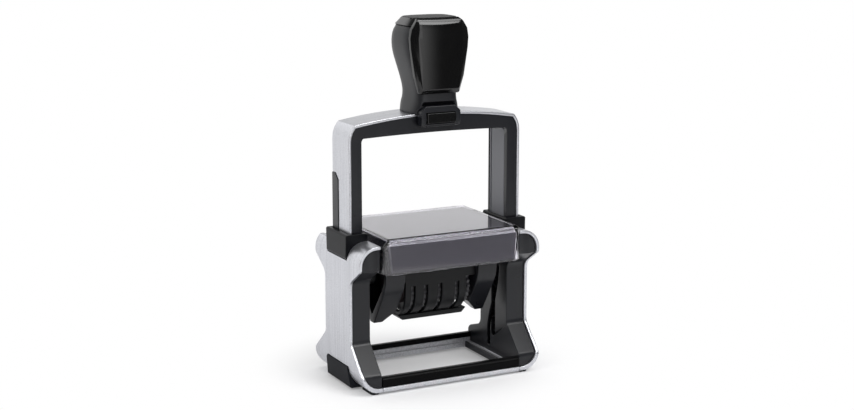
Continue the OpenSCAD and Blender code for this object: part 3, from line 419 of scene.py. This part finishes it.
# %% Round the parts
# each row: finish, edge radius in mm, nodes
finishes = [
    (silver, 0.3, ["bow_cover"]),
    (plate_silver, 0.3, ["base_plate"]),
    (black_abs, 0.3, ["side_frame_left", "side_frame_right", "guide_rail_left", "guide_rail_right",
                      "bow_frame", "bow_rail_left", "bow_rail_right", "grip_saddle",
                      "cheek_left", "cheek_right"]),
    (deep_abs, 0.3, ["band_housing", "cartridge_tray", "die_carrier", "band_nose"]),
    # the cross bars' extra darkness is painted shade
    (bars_painted_shade_abs, 0.3, ["cross_bar_front", "cross_bar_rear"]),
    (foot_rubber, 0.25, ["side_foot_left", "side_foot_right", "rubber_pads"]),
    (gloss_black, 0.25, ["lock_button"]),
    (insert_plastic, 0.15, ["cover_insert"]),
    (wheel_acetal, 0.12, ["setting_wheel_1", "setting_wheel_2", "setting_wheel_3", "setting_wheel_4",
                          "axle_spacer"]),
    (print_rubber, 0.12, ["date_band_1", "date_band_2", "date_band_3", "date_band_4"]),
    (pin_steel, 0.15, ["pivot_pin_left", "pivot_pin_right", "flip_pin_left", "flip_pin_right",
                       "wheel_axle"]),
]
for material, radius, nodes in finishes:
    for node in nodes:
        rounded_copy(node, material, radius)

# %% Round the side covers and the collars
for node in ("side_cover_left", "side_cover_right"):
    rounded_copy(node, silver, 0.3, join_flat=True)
# the collars' short facets are merged first, which gives the wider bevel room
for node in ("guide_collar_left", "guide_collar_right"):
    rounded_copy(node, satin_abs, 0.35, steps=3, merge_mm=0.45)

# %% [markdown]
# ## The clear cover
# The cover is one clear shell, so its look comes from its edges: each corner is rounded a little more
# than on the black parts, and the rounded corner bends the light into a pale line.

# %% Clear cover
rounded_copy("window_cover", clear_cover, 0.4, steps=3)

# %% [markdown]
# ## The knob
# The grip is a soft form with no edges of its own, so it is only shaded smooth. The polished panel has
# broad bevels whose edges are rounded. Its face is not flat either: it falls back a little from the
# middle to the sides, which spreads its reflection. The panel is cut into upright strips, and the points
# of its face are set back by the square of their distance from the middle, while its rim stays in place.
# The top of the cap, where the palm presses, is rubbed dull, so its faces take a second finish.

# %% Knob
soft_deg, core_weight = 40, 50
grip = plain_copy("grip_body", merge_mm=0.01)
bpy.ops.object.shade_smooth_by_angle(angle=math.radians(soft_deg))
finish_piece(grip, "grip_body", soft_touch)
print(grip.name, len(grip.data.polygons), "faces")
core = rounded_copy("grip_core", gloss_black, 0.25, steps=3, sharp=35, weight=core_weight, merge_mm=0.35)

# %% Crown of the knob's panel
crown_mm, crown_half_mm, rim_mm, roll_mm = 0.7, 12.0, 1.9, 4.3
strip_mm, strips_a_side = 1.5, 7
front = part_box("grip_core")[0][1]
alone(core)
bpy.ops.object.mode_set(mode="EDIT")
bpy.ops.mesh.select_mode(type="FACE")
for strip in range(-strips_a_side, strips_a_side + 1):
    bpy.ops.mesh.select_all(action="DESELECT")
    bpy.ops.object.mode_set(mode="OBJECT")
    for face in core.data.polygons:
        face.select = face.center.y < front + roll_mm * MM
    bpy.ops.object.mode_set(mode="EDIT")
    bpy.ops.mesh.bisect(plane_co=(strip * strip_mm * MM, 0, 0), plane_no=(1, 0, 0))
bpy.ops.mesh.select_mode(type="VERT")
bpy.ops.object.mode_set(mode="OBJECT")
for vertex in core.data.vertices:
    share = min(max(1 - (vertex.co.y - front) / (rim_mm * MM), 0), 1)
    vertex.co.y += share * crown_mm * MM * (vertex.co.x / (crown_half_mm * MM)) ** 2
clear_slivers(core, merge_mm=0.015)
even_shading(core, curve_deg, core_weight)
print(core.name, len(core.data.polygons), "faces, crowned by", crown_mm, "mm")

# %% Worn top of the knob
worn_mm = 0.3
core.data.materials.append(worn_acrylic)
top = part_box("grip_core")[1][2]
worn = [face for face in core.data.polygons if face.center.z > top - worn_mm * MM]
for face in worn:
    face.material_index = 1
print(core.name, len(worn), "faces worn dull")

# %% [markdown]
# ## The print face
# The rubber text plate has raised lines above and below the date window, inside a raised border. The
# words on it belong to whoever orders the stamp, so here each line is only a row of plain blocks. They
# are left standing when shallow grooves are cut into the solid's flat relief with one Boolean.

# %% Grooves of the print face
low, high = (Vector(c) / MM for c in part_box("text_plate"))
margin, border, deep = 3.0, 1.2, 0.5
edge_x, edge_y = high.x - margin, high.y - margin
rows, line_low, line_high, line_gap = 3, 7.4, edge_y - border, 1.1
pitch = (line_high - line_low + line_gap) / rows
block_gap, group_gap, group = 0.5, 1.5, 6
indent, row_shift, outdent = 2.4, 1.1, 2
narrow, wider = 2.1, 0.3
grooves = []
for side in (1, -1):
    grooves += [(-edge_x, edge_x, side * edge_y, side * (edge_y - border)),
                (side * edge_x, side * (edge_x - border), -edge_y, edge_y),
                (-edge_x, edge_x, side * (line_low - border), side * line_low)]
    for row in range(rows):
        row_low = line_low + row * pitch
        if row:
            grooves.append((-edge_x, edge_x, side * (row_low - line_gap), side * row_low))
        foot, head = row_low - line_gap / 2, row_low + pitch - line_gap / 2
        gap_at = -edge_x + indent + row_shift * row
        step = 0
        while gap_at < edge_x - outdent:
            wide = group_gap if step % group == group - 1 else block_gap
            grooves.append((gap_at, gap_at + wide, side * foot, side * head))
            # four block widths take turns, and each row starts with another one
            gap_at += narrow + wider * ((step * 7 + row * 3) % 4)
            step += 1
print(len(grooves), "grooves,", rows, "rows of blocks on each side of the window")

# %% Cut the print face
plate_deg = 30
bpy.ops.object.select_all(action="DESELECT")
cutters = []
for x0, x1, y0, y1 in grooves:
    middle = ((x0 + x1) / 2 * MM, (y0 + y1) / 2 * MM, high.z * MM)
    bpy.ops.mesh.primitive_cube_add(size=1, location=middle)
    cutter = bpy.context.active_object
    cutter.scale = (abs(x1 - x0) * MM, abs(y1 - y0) * MM, 2 * deep * MM)
    cutters.append(cutter)
for cutter in cutters:
    cutter.select_set(True)
bpy.ops.object.transform_apply(location=True, scale=True)
bpy.ops.object.join()
cutter = bpy.context.active_object
plate = plain_copy("text_plate")
carve = plate.modifiers.new("lines", "BOOLEAN")
carve.operation, carve.solver, carve.use_self, carve.object = "DIFFERENCE", "EXACT", True, cutter
bpy.ops.object.modifier_apply(modifier=carve.name)
bpy.data.objects.remove(cutter)
clear_slivers(plate)
even_shading(plate, plate_deg)
finish_piece(plate, "text_plate", print_rubber)
print(plate.name, len(plate.data.polygons), "faces")

# %% [markdown]
# ## Finger inlays
# A flat grey inlay lies inside each leg of the bow, where the fingers pass; its pale grey is partly
# painted light, for the light from the left on the leg. It is made of two strips with a thin line between
# them, and the broad strip's upper front corner is rounded. The solid's short groove is first carved
# longer, so that the inlay runs from the collar to the top of the leg. A small gap all round leaves the
# thin dark line that shows where one part ends and the other begins.

# %% Grooves for the inlays
bow = bpy.data.objects["bow_frame.look"]
bow_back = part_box("bow_frame")[1][1] / MM
leg_face, inlay_low, inlay_high, inlay_deep = 36.25, 68.5, 110.6, 1.0
strip_split, back_rim = 6.0, 0.8
strips = [(-strip_split, strip_split), (strip_split, bow_back - back_rim)]
carve_past, carve_start = 0.04, 0.5


def block(low, high):
    low, high = Vector(low) * MM, Vector(high) * MM
    bpy.ops.object.select_all(action="DESELECT")
    bpy.ops.mesh.primitive_cube_add(size=1, location=(low + high) / 2)
    piece = bpy.context.active_object
    piece.scale = high - low
    bpy.ops.object.transform_apply(location=True, scale=True)
    return piece


def leg_span(side, out, deep):
    return sorted((side * (leg_face - out), side * (leg_face + deep)))


for side in (1, -1):
    x0, x1 = leg_span(side, carve_start, inlay_deep + carve_past)
    cutter = block((x0, strips[0][0] - carve_past, inlay_low), (x1, strips[1][1], inlay_high))
    alone(bow)
    carve = bow.modifiers.new("groove", "BOOLEAN")
    carve.operation, carve.solver, carve.object = "DIFFERENCE", "EXACT", cutter
    bpy.ops.object.modifier_apply(modifier=carve.name)
    bpy.data.objects.remove(cutter)
clear_slivers(bow)
even_shading(bow, curve_deg)
print(bow.name, len(bow.data.polygons), "faces, with longer grooves")

# %% Finger inlays
inlay_gap, inlay_sunk, corner_mm, corner_steps = 0.3, 0.1, 1.6, 5
inlay_edge_mm, inlay_edge_steps = 0.3, 3
mid_leg = (inlay_low + inlay_high) / 2
for side, name in ((1, "right"), (-1, "left")):
    pair = []
    for front, rear in strips:
        x0, x1 = leg_span(side, -inlay_sunk, inlay_deep)
        strip = block((x0, front + inlay_gap, inlay_low + inlay_gap),
                      (x1, rear - inlay_gap, inlay_high - inlay_gap))
        if front < 0:
            bpy.ops.object.mode_set(mode="EDIT")
            bpy.ops.mesh.select_mode(type="EDGE")
            bpy.ops.mesh.select_all(action="DESELECT")
            bpy.ops.object.mode_set(mode="OBJECT")
            for edge in strip.data.edges:
                ends = [strip.data.vertices[v].co for v in edge.vertices]
                edge.select = all(end.y < 0 and end.z > mid_leg * MM for end in ends)
            bpy.ops.object.mode_set(mode="EDIT")
            bpy.ops.mesh.bevel(offset=corner_mm * MM, segments=corner_steps)
            bpy.ops.mesh.select_mode(type="VERT")
            bpy.ops.object.mode_set(mode="OBJECT")
        bevel = strip.modifiers.new("edge", "BEVEL")
        bevel.width, bevel.segments = inlay_edge_mm * MM, inlay_edge_steps
        bevel.limit_method, bevel.angle_limit = "ANGLE", math.radians(soft_deg)
        bpy.ops.object.modifier_apply(modifier=bevel.name)
        pair.append(strip)
    bpy.ops.object.select_all(action="DESELECT")
    for strip in pair:
        strip.select_set(True)
    bpy.context.view_layer.objects.active = pair[0]
    bpy.ops.object.join()
    inlay = pair[0]
    inlay.name = "finger_inlay_" + name
    even_shading(inlay, soft_deg)
    # the inlay's pale grey is partly painted light
    inlay.data.materials.append(inlay_grey_painted_light)
    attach(inlay, "bow")
    print(inlay.name, len(inlay.data.polygons), "faces")

# %% [markdown]
# ## The return springs
# A return spring is wound from round wire. A circle of wire thickness is set out from the axis and
# turned up along it with the Screw modifier, which is how such a coil is drawn in one go. When the bow
# goes down the coil shortens.

# %% Return springs
wire, wire_sides, turns, steps_a_turn = 0.35 * MM, 10, 14, 20
for node in ("return_spring_left", "return_spring_right"):
    low, high = (Vector(c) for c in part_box(node))
    length = high.z - low.z
    coil = (high.x - low.x) / 2 - wire
    bpy.ops.object.select_all(action="DESELECT")
    bpy.ops.mesh.primitive_circle_add(vertices=wire_sides, radius=wire, fill_type="NOTHING",
                                      rotation=(math.pi / 2, 0, 0))
    spring = bpy.context.active_object
    spring.name = node + ".look"
    bpy.ops.object.transform_apply(rotation=True)
    bpy.ops.object.mode_set(mode="EDIT")
    bpy.ops.mesh.select_all(action="SELECT")
    bpy.ops.transform.translate(value=(coil, 0, wire))
    bpy.ops.object.mode_set(mode="OBJECT")
    screw = spring.modifiers.new("wind", "SCREW")
    screw.angle = 2 * math.pi * turns
    screw.screw_offset = length - 2 * wire
    screw.steps = screw.render_steps = steps_a_turn * turns
    screw.use_merge_vertices = False
    bpy.ops.object.modifier_apply(modifier=screw.name)
    bpy.ops.object.mode_set(mode="EDIT")
    bpy.ops.mesh.select_all(action="SELECT")
    bpy.ops.mesh.fill_holes(sides=wire_sides)
    bpy.ops.mesh.select_all(action="SELECT")
    bpy.ops.mesh.normals_make_consistent(inside=False)
    bpy.ops.object.mode_set(mode="OBJECT")
    spring.location = ((low.x + high.x) / 2, (low.y + high.y) / 2, low.z)
    bpy.ops.object.transform_apply(location=True)
    bpy.ops.object.shade_smooth()
    finish_piece(spring, node, spring_steel)
    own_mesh(spring)
    print(spring.name, turns, "turns over", round(length / MM, 1), "mm")

# %% [markdown]
# ## The ink pad
# The pad is a felt block that fills its tray and is soaked with ink. It starts as a cube at the pad's
# size, and all its edges are bevelled round, because felt has no sharp edge.

# %% Ink pad
pad_edge_mm, pad_edge_steps = 0.55, 4
low, high = (Vector(c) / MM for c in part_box("ink_pad"))
pad = block(low, high)
pad.name = "ink_pad.look"
bpy.ops.object.mode_set(mode="EDIT")
bpy.ops.mesh.select_all(action="SELECT")
bpy.ops.mesh.bevel(offset=pad_edge_mm * MM, segments=pad_edge_steps)
bpy.ops.object.mode_set(mode="OBJECT")
bpy.ops.object.shade_smooth_by_angle(angle=math.radians(soft_deg))
finish_piece(pad, "ink_pad", ink_felt)
print(pad.name, [round(v, 1) for v in high - low], "mm")

# %% [markdown]
# ## Camera
# The photograph was taken from the front left, a little above the lid. The camera's turn, height and
# distance were found by fitting edges whose places are known, and the lens belongs to a frame of 854 by
# 410 pixels on a 36 mm wide sensor.

# %% Camera
azimuth, elevation = math.radians(-27.06), math.radians(11.61)
eye = Vector((-0.3222, -0.6305, 0.2226))
frame_px, focal_px, sensor_mm = 854, 1600, 36
level = math.cos(elevation)
back = Vector((math.sin(azimuth) * level, -math.cos(azimuth) * level, math.sin(elevation)))
right = Vector((math.cos(azimuth), math.sin(azimuth), 0))
up = back.cross(right)
camera = bpy.data.objects.new("camera", bpy.data.cameras.new("camera"))
bpy.context.scene.collection.objects.link(camera)
turn = Matrix((right, up, back)).transposed().to_4x4()
turn.translation = eye
camera.matrix_world = turn
camera.data.sensor_width = sensor_mm
camera.data.lens = sensor_mm * focal_px / frame_px
camera.data.clip_start = 0.01
bpy.context.scene.camera = camera
print("camera at", [round(v, 3) for v in camera.location], "lens", round(camera.data.lens, 2), "mm")

# %% [markdown]
# ## Floor
# The stamp stands on a white sheet. The floor is a round sheet whose rim fades into the white background
# for the camera alone, so no edge of it shows. Round the base it keeps the soft shadow, which a small
# share of painted white glow lifts for the camera.

# %% Floor
floor_radius, fade_start, fade_end, painted_glow_least = 0.42, 0.035, 0.085, 0.14
bpy.ops.object.select_all(action="DESELECT")
bpy.ops.mesh.primitive_circle_add(vertices=96, radius=floor_radius, fill_type="NGON")
floor = bpy.context.active_object
floor.name = "floor"
# uncoated white paper: fully matte, so it shows a shadow; for the camera a painted white glow is mixed
# in, a small share round the base, which lifts the shadow, and all of it at the rim
paper, tree, output, place = new_material("white_sheet")
matte = add_node(tree, "ShaderNodeBsdfDiffuse", {"Color": colour("#f7f7f8")})
white = add_node(tree, "ShaderNodeEmission", {"Color": colour("#ffffff"), "Strength": 1.0})
reach = add_node(tree, "ShaderNodeVectorMath", links={0: place}, operation="LENGTH")
# the share of painted white glow: small round the base, where it lifts the shadow, and whole at the rim
fade = add_node(tree, "ShaderNodeMapRange",
                {"From Min": fade_start, "From Max": fade_end, "To Min": painted_glow_least},
                {"Value": reach.outputs["Value"]}, interpolation_type="SMOOTHSTEP")
rays = add_node(tree, "ShaderNodeLightPath")
seen = add_node(tree, "ShaderNodeMath", links={0: rays.outputs["Is Camera Ray"], 1: fade.outputs["Result"]},
                operation="MULTIPLY")
mix = add_node(tree, "ShaderNodeMixShader",
               links={0: seen.outputs[0], 1: matte.outputs[0], 2: white.outputs[0]})
tree.links.new(mix.outputs[0], output.inputs["Surface"])
floor.data.materials.append(paper)
print("floor radius", floor_radius, "m")

# %% [markdown]
# ## Room
# The room gives an even light from all round, and the camera sees it as plain white. What is polished
# also mirrors it, and a studio shapes that with walls and cards: a white wall behind, brighter at the
# left, for the lid's top, a dim ceiling, and one pale card in front for the faces that look at the
# camera. Elsewhere the front stays dim, which keeps polished black deep. Each of these is one smooth step
# along an axis of the room, and the steps are multiplied.

# %% Steps of the room's brightness
world = bpy.data.worlds.new("room")
bpy.context.scene.world = world
world.use_nodes = True
tree = world.node_tree
tree.nodes.clear()
axes = add_node(tree, "ShaderNodeSeparateXYZ",
                links={"Vector": add_node(tree, "ShaderNodeTexCoord").outputs["Generated"]})
steps = {}
for name, axis, start, end, level_start, level_end in (
        ("wall", "Y", -0.25, 0.45, 0.1, 1.0),
        ("raised", "Z", 0.22, 0.4, 0.0, 1.0),
        ("sideways", "X", 0.3, -0.15, 0.62, 1.35),
        ("ceiling", "Z", 0.42, 0.8, 1.0, 0.16),
        ("card", "Y", -0.6, -0.85, 0.0, 1.75),
        ("card_right", "X", 0.46, 0.2, 0.0, 1.0),
        ("card_left", "X", -0.25, 0.05, 0.0, 1.0)):
    step = add_node(tree, "ShaderNodeMapRange",
                    {"From Min": start, "From Max": end, "To Min": level_start, "To Max": level_end},
                    {"Value": axes.outputs[axis]}, interpolation_type="SMOOTHSTEP")
    steps[name] = step.outputs["Result"]
print("room steps:", list(steps))

# %% Room
even_light = 0.5
glow = add_node(tree, "ShaderNodeMix", {"A": 1.0}, {"Factor": steps["raised"], "B": steps["sideways"]},
                data_type="FLOAT")
back_wall, card = steps["wall"], steps["card_right"]
for factor in (glow.outputs["Result"], steps["ceiling"]):
    back_wall = add_node(tree, "ShaderNodeMath", links={0: back_wall, 1: factor},
                         operation="MULTIPLY").outputs[0]
for factor in (steps["card_left"], steps["card"]):
    card = add_node(tree, "ShaderNodeMath", links={0: card, 1: factor}, operation="MULTIPLY").outputs[0]
mirrored = add_node(tree, "ShaderNodeMath", links={0: back_wall, 1: card}, operation="ADD")
rays = add_node(tree, "ShaderNodeLightPath")
light = add_node(tree, "ShaderNodeMix", {"A": even_light},
                 {"Factor": rays.outputs["Is Glossy Ray"], "B": mirrored.outputs[0]}, data_type="FLOAT")
straight = add_node(tree, "ShaderNodeMath",
                    links={0: rays.outputs["Is Camera Ray"], 1: rays.outputs["Is Transmission Ray"]},
                    operation="MAXIMUM")
shown = add_node(tree, "ShaderNodeMath", links={0: light.outputs["Result"], 1: straight.outputs[0]},
                 operation="MAXIMUM")
background = add_node(tree, "ShaderNodeBackground", {"Color": colour("#ffffff")},
                      {"Strength": shown.outputs[0]})
tree.links.new(background.outputs[0], add_node(tree, "ShaderNodeOutputWorld").inputs["Surface"])
print("room: even light", even_light, "and a white wall behind for what mirrors it")

# %% [markdown]
# ## Lamps
# The lamps are large and soft, as in a studio. One at the left and one above model the forms, and one in
# front at the right draws pale lines along the rounded edges. The fourth is flagged, as a photographer
# keeps a lamp off the rest with black cards: it reaches the knob's polished panel alone, and gives it
# only the gloss on its rolled upper edge.

# %% Lamps
aim = Vector((0, 0, 0.07))


def soft_lamp(name, place, size, power, height=None):
    lamp = bpy.data.objects.new(name, bpy.data.lights.new(name, "AREA"))
    bpy.context.scene.collection.objects.link(lamp)
    lamp.data.shape = "ELLIPSE"
    lamp.data.size = size
    lamp.data.size_y = height or size
    lamp.data.energy = power
    lamp.location = place
    lamp.rotation_euler = (aim - Vector(place)).to_track_quat("-Z", "Y").to_euler()
    print(name, power, "W")
    return lamp


soft_lamp("left_lamp", (-1.1, -0.25, 0.75), size=0.7, power=3.5)
soft_lamp("top_lamp", (0.1, 0.1, 1.3), size=0.9, power=4.5)
soft_lamp("front_lamp", (0.5, -0.85, 1.25), size=0.8, power=10.0, height=0.7)
roof_lamp = soft_lamp("roof_lamp", (0.58, -0.14, 1.48), size=0.85, power=7.4)
flagged = bpy.data.collections.new("lit_by_roof_lamp")
flagged.objects.link(core)
roof_lamp.light_linking.receiver_collection = flagged
roof_lamp.visible_diffuse = False

# %% [markdown]
# ## Close
# The view transform stays plain, so that a colour renders as it is written. The dressed stamp has to
# stay inside the solid one.

# %% Close
bpy.context.scene.view_settings.view_transform = "Standard"
